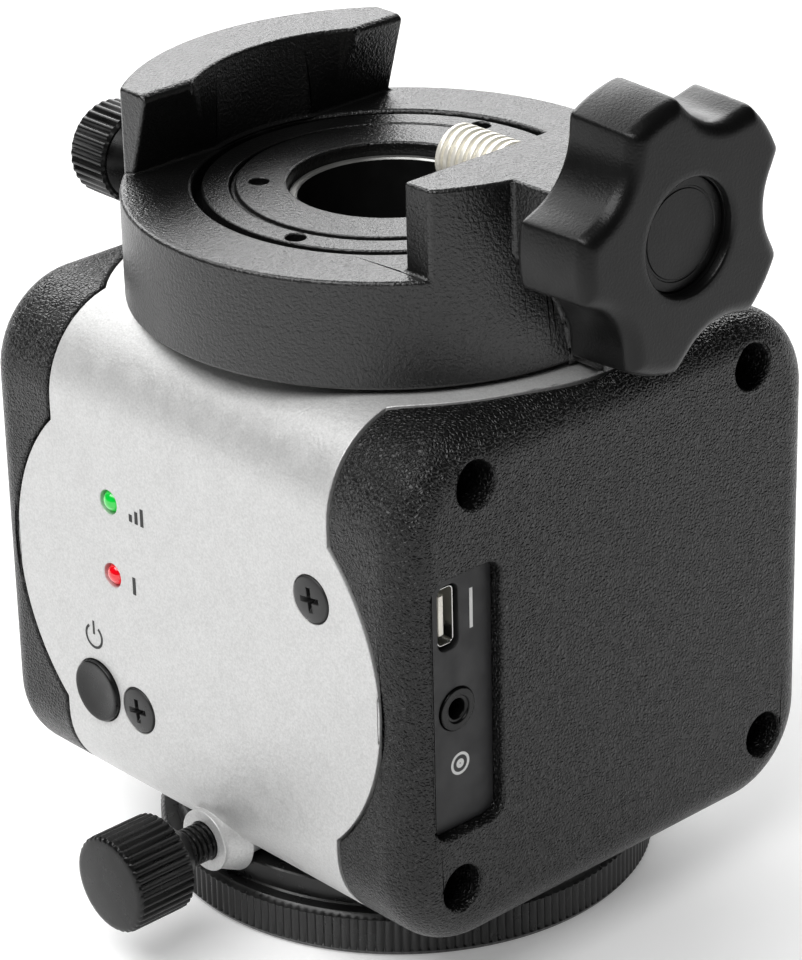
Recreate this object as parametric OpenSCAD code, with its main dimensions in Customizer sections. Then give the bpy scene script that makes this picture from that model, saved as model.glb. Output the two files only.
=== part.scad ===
// Compact star tracker mount.
// +Z is the polar axis. The origin is on that axis, at the foot of the tripod adapter.
// The lit front face looks along -Y, the port cover along +X.

/* [Housing] */
// Width over both end covers (X)
body_w = 77.6; // [70:0.1:90]
// Depth from front to back (Y)
body_d = 69.8; // [60:0.1:80]
// Height of the housing's underside above the foot
body_z0 = 9.4; // [8:0.1:14]
// Height of the housing itself (Z)
body_h = 67.8; // [60:0.1:75]
// Radius of the four long corners
corner_r = 12; // [8:0.5:16]
// Radius round the outer end of each cover
edge_r = 5; // [2:0.5:8]
// Wall of the cast housing
wall = 3; // [2:0.1:5]
// Wall of the end covers
cover_wall = 2.5; // [1.5:0.1:4]
// Where the covers meet the housing along X
split_x = 25.7; // [20:0.1:32]
// Reach of the round front and back bulges along X
lens_x = 34; // [28:0.1:36]
// Radius of the round front and back bulges
lens_r = 27.1; // [22:0.1:40]
// Height of the middle of the front and back bulges
lens_z = 42.7; // [35:0.1:50]
// Radius of the round shelf under the saddle
shelf_r = 35.9; // [34:0.1:37]
// Open line between cover and housing
cover_gap = 0.4; // [0.1:0.05:1]

/* [Saddle] */
// Radius of the turning saddle
saddle_r = 33.2; // [30:0.1:40]
// Underside of the saddle
saddle_z0 = 77.8; // [77:0.1:80]
// Thickness of the saddle plate
saddle_t = 13.6; // [10:0.1:16]
// Height of the jaws above the plate
jaw_h = 11; // [8:0.1:14]
// Foot of the fixed jaw, distance from the axis
fixed_jaw_x = 23.5; // [22:0.1:25]
// Inner face of the screw jaw, distance from the axis
screw_jaw_x = 23; // [22:0.1:25]
// Undercut of the fixed jaw, degrees
jaw_slope = 15.7; // [10:0.1:20]
// Half length of the fixed jaw along Y
fixed_jaw_y = 21.4; // [18:0.1:24]
// Half length of the screw jaw along Y
screw_jaw_y = 19; // [16:0.1:24]
// Turned relief in the jaws' middle
relief_r = 24.8; // [24:0.1:26]
// Radius of the recess for the locking ring
recess_r = 24.4; // [22:0.1:26]

/* [Polar drive] */
// Free bore along the polar axis
bore_r = 12.75; // [10:0.05:14]
// Outside of the hollow shaft (30 mm thin bearings)
shaft_r = 15; // [14:0.5:16]
// Outside of the thin bearings
bearing_r = 21; // [19:0.5:22]
// Width of the thin bearings
bearing_w = 7; // [5:0.5:9]
// Radius of the hub that the saddle turns on
hub_r = 24; // [22:0.1:26]
// Teeth of the worm wheel
wheel_teeth = 60; // [40:1:90]
// Tooth size of the worm drive
worm_m = 0.7; // [0.5:0.05:1]
// Pitch radius of the worm
worm_r = 4.2; // [3.5:0.1:6]
// Height of the worm wheel's middle
wheel_z = 62; // [58:0.1:64]
// Tooth size of the spur pair
spur_m = 0.5; // [0.4:0.05:0.8]
// Teeth on the worm's spur gear
spur_teeth = 24; // [12:1:28]
// Teeth on the motor's pinion
pinion_teeth = 24; // [12:1:28]

/* [Clamp knob] */
// Height of the clamp screw
clamp_z = 97.6; // [96:0.1:98]
// Radius over the lobes
knob_r = 17; // [14:0.1:20]
// Back face of the knob
knob_x = 39.2; // [38.5:0.1:42]
// Thickness of the knob
knob_t = 10.8; // [8:0.1:14]
// Number of lobes
knob_lobes = 5; // [3:1:8]
// Radius of the clamp screw (M8)
clamp_r = 4; // [3:0.5:5]
// Where the screw's tip stands
clamp_tip = 11.5; // [8:0.1:22]

/* [Thumb screws] */
// Radius of the knurled thumb knobs
thumb_r = 6.4; // [5:0.1:8]
// Radius of their threads (M5)
thumb_thread_r = 2.5; // [2:0.5:3]
// Height of the axis lock screw
axis_lock_z = 81.3; // [81:0.1:84]
// Height of the base lock screw
base_lock_z = 12.2; // [11:0.1:13]

/* [Tripod adapter] */
// Radius of the knurled flange
flange_r = 32.3; // [28:0.1:34]
// Thickness of the flange
flange_t = 6; // [4:0.1:8]
// Radius of the spigot in the housing
spigot_r = 21.9; // [18:0.1:23]
// Tapping radius of the 3/8 inch tripod thread
tripod_r = 4; // [3:0.1:5]

/* [Hidden] */
$fn = 48;
body_z1 = body_z0 + body_h;
half_w = body_w / 2;
half_d = body_d / 2;
saddle_z1 = saddle_z0 + saddle_t;
jaw_z = saddle_z1 + jaw_h;
top_bearing_z = body_z1 - 2.7 - bearing_w;
low_bearing_z = 20.5;
socket_r = spigot_r + 0.1;
groove_r = spigot_r - 0.7;
neck_z = body_z0 - 0.4;
base_tip = spigot_r + 1.4;
worm_lead = asin(worm_m / (2 * worm_r));
worm_pitch = PI * worm_m / cos(worm_lead);
wheel_r = worm_m * wheel_teeth / 2;
worm_y = wheel_r + worm_r;
spur_gap = spur_m * (spur_teeth + pinion_teeth) / 2;
cell_r = 7.1;
cell_x = -28.2;
cell_z = [36.4, 51];
port_y = [-30.4, -19.6];
port_z = [26, 60.2];
usb_at = [-26.6, 54.4];
jack_at = [-25.5, 42];
led_x = -15;
led_z = [54.4, 44.3];
button_at = [-19.2, 26.5];
front_screw_at = [[22.6, 54.5], [-11.2, 26.6]];
bracket_screw_at = [[-13.7, -1.6], [-3, -19.6]];
cover_screw_at = [[-23.3, 70.8], [23.3, 70.8], [-26.5, 18.6], [26.5, 18.6]];

silver = [0.80, 0.80, 0.79];
cover_black = [0.09, 0.09, 0.09];
saddle_black = [0.12, 0.12, 0.12];
knob_black = [0.08, 0.08, 0.08];
steel = [0.62, 0.62, 0.60];
pale_steel = [0.86, 0.82, 0.70];
brass = [0.72, 0.56, 0.26];
alloy = [0.66, 0.67, 0.69];
nylon = [0.88, 0.87, 0.82];
board_green = [0.05, 0.26, 0.12];

// ---------- plain shapes ----------

module box(x, y, z) {
    translate([x[0], y[0], z[0]]) cube([x[1] - x[0], y[1] - y[0], z[1] - z[0]]);
}

module rod_x(r, x0, x1, y = 0, z = 0) {
    translate([x0, y, z]) rotate([0, 90, 0]) cylinder(r = r, h = x1 - x0);
}

module rod_y(r, y0, y1, x = 0, z = 0) {
    translate([x, y0, z]) rotate([-90, 0, 0]) cylinder(r = r, h = y1 - y0);
}

module rod_z(r, z0, z1, x = 0, y = 0) {
    translate([x, y, z0]) cylinder(r = r, h = z1 - z0);
}

module tube_z(ro, ri, z0, z1) {
    difference() {
        rod_z(ro, z0, z1);
        rod_z(ri, z0 - 1, z1 + 1);
    }
}

// rounded rectangle: w across, from b to t up
module round_rect(w, b, t, r) {
    translate([-w / 2 + r, b]) square([w - 2 * r, t - b]);
    translate([-w / 2, b + r]) square([w, t - b - 2 * r]);
    for (x = [-1, 1], y = [b + r, t - r]) translate([x * (w / 2 - r), y]) circle(r);
}

// the housing's cross-section, run along X
module barrel(inset, x0, x1) {
    translate([x0, 0, 0]) rotate([90, 0, 90]) linear_extrude(x1 - x0)
        round_rect(body_d - 2 * inset, body_z0 + inset, body_z1 - inset, corner_r - inset);
}

// profile of the rounded end: a flat and a quarter round
module end_profile() {
    square([corner_r - edge_r, edge_r]);
    translate([corner_r - edge_r, 0]) intersection() {
        circle(edge_r);
        square(edge_r);
    }
}

// one rounded corner, swept a quarter turn round X
module end_corner(turn) {
    rotate([turn, 0, 0]) rotate([0, 90, 0]) rotate_extrude(angle = 90) end_profile();
}

// the whole outer shape, with the same rounding swept round both ends
module envelope() {
    x = half_w - edge_r;
    y = half_d - corner_r;
    z0 = body_z0 + corner_r;
    z1 = body_z1 - corner_r;
    barrel(0, -x, x);
    for (s = [0, 1]) mirror([s, 0, 0]) {
        box([x, half_w], [-y, y], [z0, z1]);
        translate([x, -y, z1]) rotate([90, 0, 180]) mirror([1, 0, 0]) linear_extrude(2 * y)
            rotate(90) mirror([0, 1]) end_profile();
        translate([x, -y, z0]) rotate([90, 0, 180]) mirror([1, 0, 0]) linear_extrude(2 * y)
            rotate(-90) end_profile();
        translate([x, y, z0]) linear_extrude(z1 - z0) rotate(90) mirror([0, 1]) end_profile();
        translate([x, -y, z0]) linear_extrude(z1 - z0) rotate(-90) end_profile();
        translate([x, y, z0]) end_corner(0);
        translate([x, y, z1]) end_corner(90);
        translate([x, -y, z1]) end_corner(180);
        translate([x, -y, z0]) end_corner(270);
    }
}

// the part of the outer shape that belongs to the cast housing
module housing_zone(grow) {
    box([-split_x - grow, split_x + grow], [-50, 50], [0, 90]);
    for (s = [-1, 1]) rod_y(lens_r + grow, -50, 50, s * (lens_x - lens_r), lens_z);
    rod_z(shelf_r + grow, 68, 90);
    rod_z(shelf_r + grow, 0, 18);
}

// ---------- gears ----------

function inv(a) = tan(a) - a * PI / 180;
function half_angle(r, n, m, thin) = (90 / n) - thin / (m * n) * 180 / PI
    + (inv(20) - inv(acos(min(1, m * n * cos(20) / (2 * r))))) * 180 / PI;
function gear_point(r, a) = [r * cos(a), r * sin(a)];

// involute outline, first tooth centred on angle phase
module gear_2d(n, m, thin, phase) {
    rb = m * n * cos(20) / 2;
    rr = m * n / 2 - 1.2 * m;
    rt = m * n / 2 + 0.92 * m;
    rs = [max(rr + 0.05, rb), m * n / 2, (m * n / 2 + rt) / 2, rt];
    polygon([for (i = [0:n - 1], k = [0:9])
        let (up = k < 5, j = up ? k : 9 - k, r = j == 0 ? rr : rs[j - 1],
            h = half_angle(max(r, rs[0]), n, m, thin))
        gear_point(r, phase + i * 360 / n + (up ? -h : h))]);
}

// ---------- worm ----------

worm_seg = 20;
worm_turns = 6;
worm_n = worm_seg * worm_turns;
worm_tip = worm_r + 0.92 * worm_m;
worm_root = worm_r - 1.2 * worm_m;
worm_half = worm_pitch / 4 - 0.09;
function thread_half(r) = worm_half - (r - worm_r) * tan(20);
worm_u = [0, 0.5 - thread_half(worm_root) / worm_pitch, 0.5 - thread_half(worm_tip) / worm_pitch,
    0.5 + thread_half(worm_tip) / worm_pitch, 0.5 + thread_half(worm_root) / worm_pitch];
worm_rad = [worm_root, worm_root, worm_tip, worm_tip, worm_root];
// the crest passes the wheel's side of the worm at the middle of its length
worm_x0 = -(worm_turns / 2 + 1) * worm_pitch;
function worm_at(i, k) = let (a = 360 * i / worm_seg)
    [worm_x0 + worm_pitch * (i / worm_seg + worm_u[k]), worm_rad[k] * cos(a), worm_rad[k] * sin(a)];
function worm_id(i, k) = k == 5 ? i + worm_seg
    : k == 0 ? i : worm_n + worm_seg + 1 + i * 4 + k - 1;
worm_points = concat([for (i = [0:worm_n + worm_seg]) worm_at(i, 0)],
    [for (i = [0:worm_n], k = [1:4]) worm_at(i, k)],
    [[worm_x0, 0, 0], [worm_x0 + worm_pitch * (worm_turns + 1), 0, 0]]);
worm_c0 = len(worm_points) - 2;
worm_c1 = len(worm_points) - 1;
worm_faces = concat(
    [for (i = [0:worm_n - 1], k = [0:4]) [worm_id(i, k), worm_id(i + 1, k), worm_id(i, k + 1)]],
    [for (i = [0:worm_n - 1], k = [0:4])
        [worm_id(i + 1, k), worm_id(i + 1, k + 1), worm_id(i, k + 1)]],
    [for (i = [0:worm_seg - 1]) [worm_c0, worm_id(i + 1, 0), worm_id(i, 0)]],
    [for (k = [0:4]) [worm_c0, worm_id(0, k), worm_id(0, k + 1)]],
    [for (i = [0:worm_seg - 1]) [worm_c1, worm_id(worm_n + i, 0), worm_id(worm_n + i + 1, 0)]],
    [for (k = [0:4]) [worm_c1, worm_id(worm_n, k + 1), worm_id(worm_n, k)]]);

// frame of the worm: its own axis along X, leaned by the lead angle
module drive_frame() {
    translate([0, worm_y, wheel_z]) rotate([0, worm_lead, 0]) children();
}

// ---------- housing ----------

module main_housing() {
    color(silver) difference() {
        union() {
            intersection() {
                difference() {
                    envelope();
                    barrel(wall, -60, 60);
                }
                housing_zone(0);
            }
            rod_z(24, top_bearing_z, body_z1 - 1);
            rod_z(26, body_z0 + 1, low_bearing_z + bearing_w);
            for (p = cover_screw_at, s = [-1, 1])
                rod_x(4.2, s > 0 ? 17.5 : -split_x + 0.2, s > 0 ? split_x - 0.2 : -17.5, p[0], p[1]);
            rod_y(4.1, -34.5, -25, 0, base_lock_z);
            translate([0, -33.6, base_lock_z]) rotate([-90, 0, 0]) cylinder(r1 = 4.1, r2 = 5.4, h = 2.8);
        }
        rod_z(19, body_z1 - 4, body_z1 + 1);
        rod_z(bearing_r, top_bearing_z - 1, top_bearing_z + bearing_w);
        rod_z(17, 0, 40);
        rod_z(bearing_r, low_bearing_z, low_bearing_z + bearing_w + 1);
        rod_z(socket_r, 0, 18.5);
        rod_z(30.4, 0, body_z0);
        rod_y(thumb_thread_r + 0.05, -40, -20, 0, base_lock_z);
        for (p = cover_screw_at) rod_x(1.3, -30, 30, p[0], p[1]);
        for (z = led_z) rod_y(1.55, -40, -28, led_x, z);
        rod_y(4.25, -40, -30, button_at[0], button_at[1]);
        for (p = front_screw_at) {
            rod_y(1.55, -40, -30, p[0], p[1]);
            rod_y(3.1, -40, -34.2, p[0], p[1]);
        }
        drive_frame() for (p = bracket_screw_at) rod_y(1.0, 5, 8.6, p[0], p[1]);
    }
}

module cover_shell(s) {
    x_in = half_w - cover_wall;
    difference() {
        intersection() {
            envelope();
            box(s > 0 ? [split_x + cover_gap, 60] : [-60, -split_x - cover_gap], [-60, 60], [0, 90]);
        }
        difference() {
            intersection() {
                barrel(cover_wall, -x_in, x_in);
                linear_extrude(100) round_rect(2 * x_in, -half_d + cover_wall, half_d - cover_wall, 2.5);
            }
            for (p = cover_screw_at)
                rod_x(4.2, s > 0 ? split_x + cover_gap : -x_in - 1, s > 0 ? x_in + 1 : -split_x - cover_gap,
                    p[0], p[1]);
        }
        housing_zone(cover_gap);
        for (p = cover_screw_at) {
            rod_x(1.6, -60, 60, p[0], p[1]);
            rod_x(2.95, s > 0 ? 30 : -60, s > 0 ? 60 : -30, p[0], p[1]);
        }
    }
}

module port_cover() {
    color(cover_black) difference() {
        union() {
            cover_shell(1);
            for (z = [28, 58]) rod_x(2, 31.6, half_w - 2, 1, z);
        }
        translate([30, (port_y[0] + port_y[1]) / 2, 0]) rotate([90, 0, 90]) linear_extrude(20)
            round_rect(port_y[1] - port_y[0], port_z[0], port_z[1], 2);
    }
}

module battery_cover() {
    color(cover_black) cover_shell(-1);
}

module port_panel() {
    w = port_y[1] - port_y[0];
    color([0.14, 0.14, 0.15]) difference() {
        translate([0, (port_y[0] + port_y[1]) / 2, 0]) rotate([90, 0, 90]) {
            translate([0, 0, 36.1]) linear_extrude(1.1)
                round_rect(w - 0.1, port_z[0] + 0.05, port_z[1] - 0.05, 1.95);
            translate([0, 0, 35.2]) linear_extrude(0.95)
                round_rect(w + 0.6, port_z[0] - 1, port_z[1] + 1, 2);
        }
        translate([30, usb_at[0], 0]) rotate([90, 0, 90]) linear_extrude(10)
            round_rect(3.3, usb_at[1] - 4.2, usb_at[1] + 4.2, 1.2);
        rod_x(2.75, 30, 40, jack_at[0], jack_at[1]);
    }
}

module usb_socket() {
    y = usb_at[0];
    z = usb_at[1];
    color(steel) {
        difference() {
            box([31.6, 36.9], [y - 1.35, y + 1.35], [z - 3.8, z + 3.8]);
            box([32.2, 40], [y - 1.05, y + 1.05], [z - 3.5, z + 3.5]);
        }
        box([31.9, 36], [y - 0.8, y - 0.2], [z - 2, z + 2]);
    }
}

module shutter_jack() {
    color([0.10, 0.10, 0.10]) difference() {
        union() {
            rod_x(2.7, 34, 37.5, jack_at[0], jack_at[1]);
            box([31.6, 35.1], [jack_at[0] - 3.2, jack_at[0] + 3.2], [jack_at[1] - 3, jack_at[1] + 3]);
        }
        rod_x(1.3, 32.4, 40, jack_at[0], jack_at[1]);
    }
}

module port_board() {
    color(board_green) box([30, 31.6], [-30.6, 4], [24, 62]);
}

module control_board() {
    color(board_green) difference() {
        box([-25.2, 25.2], [-28.2, -26.8], [24, 59.8]);
        for (p = front_screw_at) rod_y(1.6, -30, -25, p[0], p[1]);
    }
}

module board_standoffs() {
    color(brass) for (p = front_screw_at) difference() {
        rod_y(2.6, -half_d + wall, -28.2, p[0], p[1]);
        rod_y(1.55, -40, -20, p[0], p[1]);
    }
}

module led(z, c) {
    color(c) {
        rod_y(1.5, -33.7, -28.2, led_x, z);
        translate([led_x, -33.7, z]) sphere(r = 1.5);
        rod_y(1.9, -29.2, -28.2, led_x, z);
    }
}

module green_led() {
    led(led_z[0], [0.1, 0.75, 0.25]);
}

module red_led() {
    led(led_z[1], [0.85, 0.08, 0.08]);
}

module tact_switch() {
    color([0.15, 0.15, 0.16]) {
        box([button_at[0] - 3, button_at[0] + 3], [-29.5, -28.2], [button_at[1] - 3, button_at[1] + 3]);
        rod_y(1.6, -30.05, -29, button_at[0], button_at[1]);
    }
}

module cover_screws() {
    color(steel) for (p = cover_screw_at, s = [-1, 1]) {
        rod_x(1.25, s > 0 ? 19 : -29.9, s > 0 ? 29.9 : -19, p[0], p[1]);
        difference() {
            rod_x(2.6, s > 0 ? 30.05 : -32.2, s > 0 ? 32.2 : -30.05, p[0], p[1]);
            rod_x(0.9, s > 0 ? 31 : -40, s > 0 ? 40 : -31, p[0], p[1]);
        }
        rod_x(1.25, s > 0 ? 29.5 : -30.5, s > 0 ? 30.5 : -29.5, p[0], p[1]);
    }
}

module front_screws() {
    color(knob_black) for (p = front_screw_at) difference() {
        union() {
            rod_y(1.5, -34.5, -25.4, p[0], p[1]);
            rod_y(3.05, -35.1, -34.25, p[0], p[1]);
        }
        box([p[0] - 1.5, p[0] + 1.5], [-36, -34.6], [p[1] - 0.35, p[1] + 0.35]);
        box([p[0] - 0.35, p[0] + 0.35], [-36, -34.6], [p[1] - 1.5, p[1] + 1.5]);
    }
}

// ---------- power ----------

module battery_holder() {
    x = [cell_x - 2, -19.4];
    color([0.10, 0.10, 0.11]) difference() {
        union() {
            box([-20.7, x[1]], [-26, 30], [28, 59.4]);
            box(x, [-26, 30], [28, 29]);
            box(x, [-26, 30], [58.4, 59.4]);
            box([cell_x - 5, x[1]], [-26, -25], [28, 59.4]);
            box([cell_x - 5, x[1]], [29, 30], [28, 59.4]);
            for (y = [-21.2, 18.6]) box([-20.7, x[1]], [y, y + 2.6], [body_z0 + wall, 28.5]);
        }
        for (z = cell_z) rod_y(cell_r + 0.15, -24.9, 28.9, cell_x, z);
    }
}

module battery_cells() {
    for (i = [0, 1]) {
        color([0.16, 0.17, 0.20]) rod_y(cell_r, -22.6, 26.6, cell_x, cell_z[i]);
        color(steel) rod_y(2.7, i == 0 ? 26.4 : -23.8, i == 0 ? 27.8 : -22.4, cell_x, cell_z[i]);
    }
}

module battery_contacts() {
    color(steel) for (i = [0, 1]) {
        y0 = i == 0 ? -24.9 : 28.6;
        y1 = i == 0 ? 28.2 : -24.5;
        box([cell_x - 3.5, cell_x + 3.5], [y0, y0 + 0.3], [cell_z[i] - 4, cell_z[i] + 4]);
        box([cell_x - 3.5, cell_x + 3.5], [y1, y1 + 0.3], [cell_z[i] - 4, cell_z[i] + 4]);
        for (k = [0:3]) translate([cell_x, i == 0 ? -24.45 + k * 0.48 : 28.45 - k * 0.48, cell_z[i]])
            rotate([90, 0, 0]) rotate_extrude() translate([3.2 - k * 0.2, 0]) circle(0.3);
    }
}

// ---------- bearings, bracket and motor ----------

module bearing_outer_rings() {
    color(steel) for (z = [top_bearing_z, low_bearing_z]) difference() {
        tube_z(bearing_r - 0.02, 19, z + 0.05, z + bearing_w - 0.05);
        translate([0, 0, z + bearing_w / 2]) rotate_extrude() translate([18, 0]) circle(1.9);
    }
}

module bearing_inner_rings() {
    color(steel) for (z = [top_bearing_z, low_bearing_z]) difference() {
        tube_z(17, shaft_r + 0.02, z + 0.05, z + bearing_w - 0.05);
        translate([0, 0, z + bearing_w / 2]) rotate_extrude() translate([18, 0]) circle(1.9);
    }
}

module bearing_balls() {
    color(steel) for (z = [top_bearing_z, low_bearing_z], i = [0:13])
        rotate(i * 360 / 14) translate([18, 0, z + bearing_w / 2]) sphere(r = 1.8);
}

module drive_bracket() {
    color(alloy) drive_frame() difference() {
        union() {
            box([-11, 12.2], [6.05, 6.7], [-18, 2.2]);
            box([-11, 11.5], [5.25, 6.3], [-6.4, 2.2]);
            box([-16, -10.5], [5.25, 6.7], [-4, 1.5]);
            box([-5.4, -0.6], [5.25, 6.7], [-22, -17.2]);
            box([-11, -9], [-3.2, 6.3], [-3.2, 2.2]);
            box([10.6, 12.2], [-5, 6.7], [-17, 2.2]);
        }
        rod_x(1.55, -20, 20);
        rod_x(2.6, 0, 20, 0, -spur_gap);
        for (p = bracket_screw_at) rod_y(1.05, 0, 10, p[0], p[1]);
    }
}

module bracket_screws() {
    color(steel) drive_frame() for (p = bracket_screw_at) {
        rod_y(0.95, 5, 8.4, p[0], p[1]);
        difference() {
            rod_y(1.9, 3.75, 5.2, p[0], p[1]);
            rod_y(0.7, 3, 4.6, p[0], p[1]);
        }
    }
}

module gear_motor() {
    color(alloy) drive_frame() difference() {
        union() {
            box([1.2, 10.5], [-6, 6], [-spur_gap - 5, -spur_gap + 5]);
            intersection() {
                rod_x(6, -14.5, 1.3, 0, -spur_gap);
                box([-20, 2], [-7, 7], [-spur_gap - 5, -spur_gap + 5]);
            }
            rod_x(2.4, 10.4, 12, 0, -spur_gap);
        }
        rod_x(1.6, 3, 20, 0, -spur_gap);
    }
}

module power_button() {
    color(knob_black) difference() {
        union() {
            rod_y(4.15, -35.5, -30.6, button_at[0], button_at[1]);
            rod_y(5, -31.5, -30.6, button_at[0], button_at[1]);
        }
        translate([button_at[0], -53.4, button_at[1]]) sphere(r = 18.2, $fn = 96);
    }
}

// ---------- polar body ----------

// half width of the rib under the clamp screw's boss
function rib_half(z) = 2.2 + 0.0306 * pow(z - saddle_z0, 2);

module saddle() {
    lean = jaw_h * tan(jaw_slope);
    color(saddle_black) difference() {
        union() {
            rod_z(saddle_r, saddle_z0 + 0.3, saddle_z1 - 0.6);
            translate([0, 0, saddle_z0]) cylinder(r1 = saddle_r - 0.3, r2 = saddle_r, h = 0.3);
            translate([0, 0, saddle_z1 - 0.6]) cylinder(r1 = saddle_r, r2 = saddle_r - 0.6, h = 0.6);
            // fixed jaw, undercut towards its foot
            intersection() {
                rod_z(saddle_r, saddle_z1 - 1, jaw_z);
                translate([0, fixed_jaw_y, 0]) rotate([90, 0, 0]) linear_extrude(2 * fixed_jaw_y)
                    polygon([[-50, saddle_z1 - 1], [-fixed_jaw_x, saddle_z1 - 1], [-fixed_jaw_x, saddle_z1],
                        [-fixed_jaw_x + lean, jaw_z - 0.01], [-50, jaw_z + 1]]);
            }
            // screw jaw
            intersection() {
                rod_z(saddle_r, saddle_z1 - 1, jaw_z);
                box([screw_jaw_x, 50], [-screw_jaw_y, screw_jaw_y], [saddle_z1 - 1, jaw_z]);
            }
            // boss of the clamp screw on its rib
            translate([screw_jaw_x, 0, 0]) rotate([90, 0, 90]) linear_extrude(38.7 - screw_jaw_x)
                polygon(concat([for (i = [0:8]) [rib_half(saddle_z0 + 2 * i), saddle_z0 + 0.2 + 2 * i]],
                    [[10, jaw_z], [-10, jaw_z]],
                    [for (i = [8:-1:0]) [-rib_half(saddle_z0 + 2 * i), saddle_z0 + 0.2 + 2 * i]]));
        }
        // chamfer along the top inner edge of the fixed jaw
        translate([-fixed_jaw_x + lean, 0, jaw_z]) rotate([0, 45, 0])
            cube([1.3, 100, 1.3], center = true);
        difference() {
            rod_z(relief_r, saddle_z1, jaw_z + 1);
            box([0, 50], [-50, 50], [0, 200]);
        }
        rod_z(hub_r + 0.06, 0, 86.9);
        rod_z(20, 0, 100);
        rod_z(recess_r, 88.5, saddle_z1 + 0.01);
        rod_x(clamp_r + 0.05, 15, 50, 0, clamp_z);
        rod_x(thumb_thread_r + 0.05, -50, -20, 0, axis_lock_z);
    }
}

module lock_ring() {
    color(saddle_black) difference() {
        tube_z(23.2, 19.85, 88.6, saddle_z1 - 0.1);
        for (a = [-74.5, 105.5]) rotate(a) rod_z(1.25, 89, 100, 21.5);
    }
}

module drive_hub() {
    color(saddle_black) difference() {
        union() {
            rod_z(shaft_r, low_bearing_z - 1, 80);
            rod_z(hub_r, 78, 86.8);
            rod_z(19.7, 80, saddle_z1);
        }
        rod_z(bore_r, 0, 100);
        for (a = [-133, 47]) rotate(a) rod_z(1.25, 89, 100, 16.2);
        difference() {
            rod_z(20, saddle_z1 - 0.6, 100);
            rod_z(19.1, 80, 110);
        }
    }
}

module bore_liner() {
    color(steel) tube_z(bore_r - 0.03, 11.6, low_bearing_z - 1, 89.7);
}

module worm_wheel() {
    color(brass) difference() {
        translate([0, 0, wheel_z - 2]) linear_extrude(4) gear_2d(wheel_teeth, worm_m, 0.08, 3);
        rod_z(shaft_r + 0.03, 0, 100);
    }
}

module worm() {
    color(steel) drive_frame() difference() {
        polyhedron(points = worm_points, faces = worm_faces, convexity = 12);
        rod_x(1.53, -20, 20);
    }
}

module worm_shaft() {
    color(steel) drive_frame() rod_x(1.5, -12, 16.5);
}

module worm_gear() {
    color(brass) drive_frame() difference() {
        translate([12.6, 0, 0]) rotate([90, 0, 90]) linear_extrude(2.8)
            gear_2d(spur_teeth, spur_m, 0.05, 0);
        rod_x(1.53, 0, 20);
    }
}

module motor_shaft() {
    color(steel) drive_frame() rod_x(1.5, 3.5, 16.2, 0, -spur_gap);
}

module motor_pinion() {
    color(brass) drive_frame() difference() {
        translate([12.4, 0, -spur_gap]) rotate([90, 0, 90]) linear_extrude(3.2)
            gear_2d(pinion_teeth, spur_m, 0.05, 180 / pinion_teeth);
        rod_x(1.53, 0, 20, 0, -spur_gap);
    }
}

// ---------- clamp knob ----------

module clamp_pad() {
    color(brass) {
        rod_x(2.4, clamp_tip - 0.8, clamp_tip - 0.1, 0, clamp_z);
        rod_x(1.4, clamp_tip - 0.3, clamp_tip + 3, 0, clamp_z);
    }
}

module clamp_screw() {
    color(pale_steel) difference() {
        union() {
            rod_x(clamp_r, clamp_tip + 0.8, knob_x + 7, 0, clamp_z);
            translate([clamp_tip, 0, clamp_z]) rotate([0, 90, 0])
                cylinder(r1 = clamp_r - 0.8, r2 = clamp_r, h = 0.8);
        }
        rod_x(1.46, 0, clamp_tip + 3.2, 0, clamp_z);
    }
}

module clamp_knob() {
    scallop = 8.6;
    scallop_at = 13.3 + scallop;
    color(knob_black) difference() {
        union() {
            rod_x(knob_r, knob_x, knob_x + knob_t - 1.5, 0, clamp_z);
            translate([knob_x + knob_t - 1.5, 0, clamp_z]) rotate([0, 90, 0])
                cylinder(r1 = knob_r, r2 = knob_r - 1.5, h = 1.5);
        }
        for (i = [0:knob_lobes - 1])
            translate([0, 0, clamp_z]) rotate([i * 360 / knob_lobes, 0, 0])
                rod_x(scallop, 0, 80, scallop_at, 0);
        rod_x(7, knob_x + knob_t - 2.4, 80, 0, clamp_z);
        rod_x(clamp_r + 0.03, 0, knob_x + 7.1, 0, clamp_z);
    }
}

module knob_cap() {
    color(knob_black) rod_x(6.95, knob_x + knob_t - 2.35, knob_x + knob_t - 1.6, 0, clamp_z);
}

// ---------- thumb screws: head away from the origin along local +X ----------

// tip, neck, back and face are distances along the screw
module thumb_screw(tip, neck, back, face) {
    difference() {
        union() {
            rod_x(thumb_thread_r, tip, neck + 0.5);
            translate([neck, 0, 0]) rotate([0, 90, 0])
                cylinder(r1 = thumb_thread_r, r2 = thumb_r - 1, h = back - neck);
            rod_x(thumb_r, back, face - 0.4);
            translate([face - 0.4, 0, 0]) rotate([0, 90, 0])
                cylinder(r1 = thumb_r, r2 = thumb_r - 0.4, h = 0.4);
        }
        rod_x(1.26, tip - 1, tip + 2.5);
    }
}

// soft pad ahead of the tip: its front face is at front
module thumb_pad(front, tip) {
    rod_x(1.9, front, tip - 0.05);
    rod_x(1.2, tip - 0.6, tip + 2.3);
}

module at_axis_lock() {
    translate([0, 0, axis_lock_z]) rotate([0, 0, 180]) children();
}

module at_base_lock() {
    translate([0, 0, base_lock_z]) rotate([0, 0, -90]) children();
}

module axis_lock_pad() {
    color(nylon) at_axis_lock() thumb_pad(hub_r + 0.25, hub_r + 1.35);
}

module axis_lock_screw() {
    color(knob_black) at_axis_lock() thumb_screw(hub_r + 1.35, 45.6, 49.1, 56.1);
}

module base_lock_pad() {
    color(nylon) at_base_lock() thumb_pad(groove_r + 0.25, base_tip);
}

module base_lock_screw() {
    color(knob_black) at_base_lock() thumb_screw(base_tip, 38, 41.1, 50.1);
}

// ---------- tripod adapter ----------

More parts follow.
